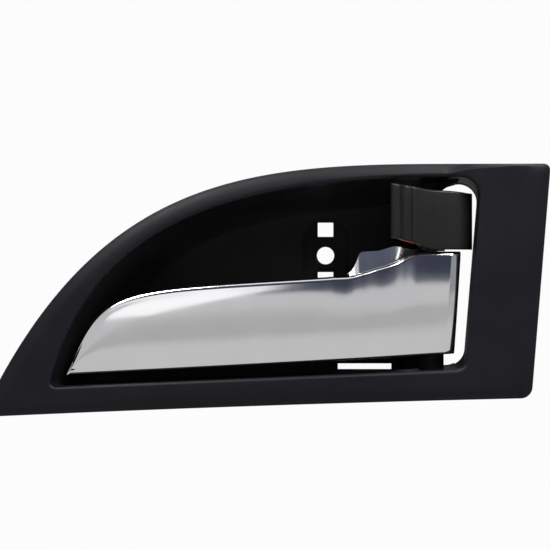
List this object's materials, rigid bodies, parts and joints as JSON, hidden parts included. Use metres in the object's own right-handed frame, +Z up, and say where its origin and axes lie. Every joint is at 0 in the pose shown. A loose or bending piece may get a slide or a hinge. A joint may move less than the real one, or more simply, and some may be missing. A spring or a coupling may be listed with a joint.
{
  "type": "car interior door handle",
  "caption": "Car door inner handle: moulded bezel with a finger cup, a chrome pull lever and a lock knob on one upright hinge pin.",
  "frame": {"origin": "centre of the fixing screw hole on its seat at the bottom of the cup", "axes": "+X towards the hinge end, +Y into the door, +Z up"},
  "size_m": [0.1889, 0.047, 0.0846],
  "materials": {
    "bezel_plastic": "satin grained",
    "chrome": "polished",
    "black_plastic": "satin",
    "steel": "plain",
    "clip_steel": "yellow zinc",
    "rubber": "matt",
    "nylon": "natural",
    "red_plastic": "glossy",
    "foam": "open-cell foam"
  },
  "bodies": {
    "housing_body": {"housing": "bezel_plastic", "hinge_pin": "steel", "pin_ring": "steel", "hub_washer": "nylon", "lever_spring": "steel", "lock_detent_spring": "steel", "rest_bumper": "rubber", "travel_bumper": "rubber", "cable_bracket": "steel", "panel_clip_left": "clip_steel", "panel_clip_middle": "clip_steel", "panel_clip_right": "clip_steel", "foam_pad_left": "foam", "foam_pad_right": "foam"},
    "lever_body": {"lever_cover": "chrome", "lever_carrier": "black_plastic", "cover_screws": "steel", "release_cable_bush": "nylon"},
    "knob_body": {"lock_knob": "black_plastic", "lock_marker": "red_plastic", "lock_cable_bush": "nylon"}
  },
  "joints": [
    {"name": "lever_pull", "type": "hinge", "parent": "housing_body", "child": "lever_body", "pos_m": [0.0355, -0.014, 0], "axis": [0, 0, 1], "range_deg": [0, 28], "stiffness_Nm_per_rad": 0.25, "springref_deg": -20.05, "deforming": ["lever_spring"]},
    {"name": "lock_turn", "type": "hinge", "parent": "housing_body", "child": "knob_body", "pos_m": [0.0355, -0.014, 0], "axis": [0, 0, 1], "range_deg": [-18, 0]}
  ]
}
